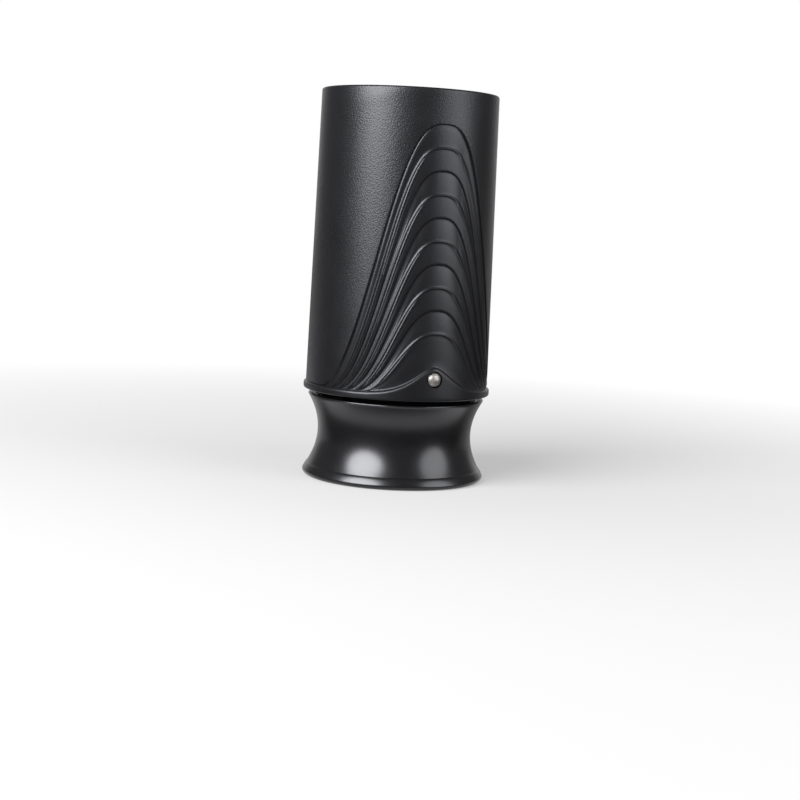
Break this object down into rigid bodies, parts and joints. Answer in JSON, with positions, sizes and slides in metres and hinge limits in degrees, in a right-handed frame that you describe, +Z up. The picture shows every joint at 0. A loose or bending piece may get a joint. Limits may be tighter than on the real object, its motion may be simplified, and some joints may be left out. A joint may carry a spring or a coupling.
{
  "type": "electric bottle vacuum pump",
  "caption": "Hand-held battery vacuum pump for opened wine bottles: a tapered round housing over a bell-shaped collar that sits on the bottle's mouth.",
  "frame": {"origin": "centre of the collar's bottom rim, on the surface that the pump stands on", "axes": "+Z up along the housing's axis, towards the battery cover; the front, with the release button, faces -Y"},
  "size_m": [0.0514, 0.0514, 0.105],
  "materials": {
    "housing_black": "fine-grained matt charcoal",
    "collar_black": "semi-gloss black",
    "moulding": "plain moulded",
    "white_plastic": "plain moulded",
    "silicone": "matt",
    "rubber": "matt",
    "pearl": "satin pearl",
    "steel": "bright",
    "rotor_steel": "laminated, with copper windings",
    "motor_steel": "nickel plated",
    "nickel": "nickel plated",
    "brass": "turned",
    "board": "solder mask",
    "chip": "matt epoxy",
    "felt": "felt",
    "cell_wrap": "printed sleeve, left plain",
    "wire_black": "wire sheath",
    "wire_red": "wire sheath"
  },
  "bodies": {
    "housing": {"body_shell": "housing_black", "switch_case": "collar_black", "base_plate": "moulding", "release_valve_body": "moulding", "battery_carrier": "moulding", "pump_head": "white_plastic", "valve_plate": "white_plastic", "crankcase": "white_plastic", "crankcase_cover": "white_plastic", "motor_end_cap": "white_plastic", "port_hose": "silicone", "inlet_flap": "silicone", "outlet_flap": "silicone", "diaphragm": "rubber", "guide_screw_1": "steel", "guide_screw_2": "steel", "guide_screw_3": "steel", "plate_screw_1": "steel", "plate_screw_2": "steel", "plate_screw_3": "steel", "collar_spring": "steel", "release_spring": "steel", "pump_screw_1": "steel", "pump_screw_2": "steel", "motor_can": "motor_steel", "battery_spring_1": "nickel", "battery_spring_2": "nickel", "battery_spring_3": "nickel", "battery_spring_4": "nickel", "contact_strip_1": "nickel", "contact_strip_2": "nickel", "contact_strip_3": "nickel", "contact_tab_1": "nickel", "contact_tab_2": "nickel", "motor_terminal_1": "brass", "motor_terminal_2": "brass", "control_board": "board", "driver_chip": "chip", "nozzle_filter": "felt", "battery_cell_1": "cell_wrap", "battery_cell_2": "cell_wrap", "battery_cell_3": "cell_wrap", "battery_cell_4": "cell_wrap", "motor_wire_1": "wire_black", "motor_wire_2": "wire_red"},
    "collar": {"collar": "collar_black", "seal_cup": "silicone", "seal_retainer": "moulding", "nozzle_oring": "rubber", "push_rod": "steel"},
    "release_button": {"release_button": "pearl", "release_oring": "rubber"},
    "switch_plunger": {"switch_plunger": "white_plastic"},
    "motor_shaft": {"motor_shaft": "steel", "motor_rotor": "rotor_steel", "eccentric": "brass"},
    "con_rod": {"con_rod": "moulding", "piston_screw": "steel"},
    "battery_cover": {"battery_cover": "housing_black", "cover_seal": "silicone"}
  },
  "joints": [
    {"name": "collar_press", "type": "slide", "parent": "housing", "child": "collar", "axis": [0, 0, 1], "range_m": [0, 0.001], "stiffness_N_per_m": 2000, "springref_m": -0.003, "deforming": ["collar_spring"]},
    {"name": "switch_push", "type": "slide", "parent": "housing", "child": "switch_plunger", "axis": [0, 0, 1], "range_m": [0, 0.001]},
    {"name": "release_press", "type": "slide", "parent": "housing", "child": "release_button", "axis": [0, 1, 0], "range_m": [0, 0.0008], "stiffness_N_per_m": 800, "springref_m": -0.002, "deforming": ["release_spring"]},
    {"name": "motor_spin", "type": "hinge", "parent": "housing", "child": "motor_shaft", "pos_m": [0.013, 0, 0.0404], "axis": [1, 0, 0], "continuous": true, "deforming": ["diaphragm"]},
    {"name": "con_rod_swing", "type": "hinge", "parent": "motor_shaft", "child": "con_rod", "pos_m": [0.013, 0, 0.0412], "axis": [1, 0, 0], "continuous": true},
    {"name": "cover_turn", "type": "hinge", "parent": "housing", "child": "battery_cover", "pos_m": [0, 0, 0.1], "axis": [0, 0, 1], "range_deg": [0, 30]}
  ],
  "couplings": [
    {"joint": "switch_push", "follows": "collar_press", "ratio": 1},
    {"joint": "con_rod_swing", "follows": "motor_spin", "ratio": -1}
  ]
}
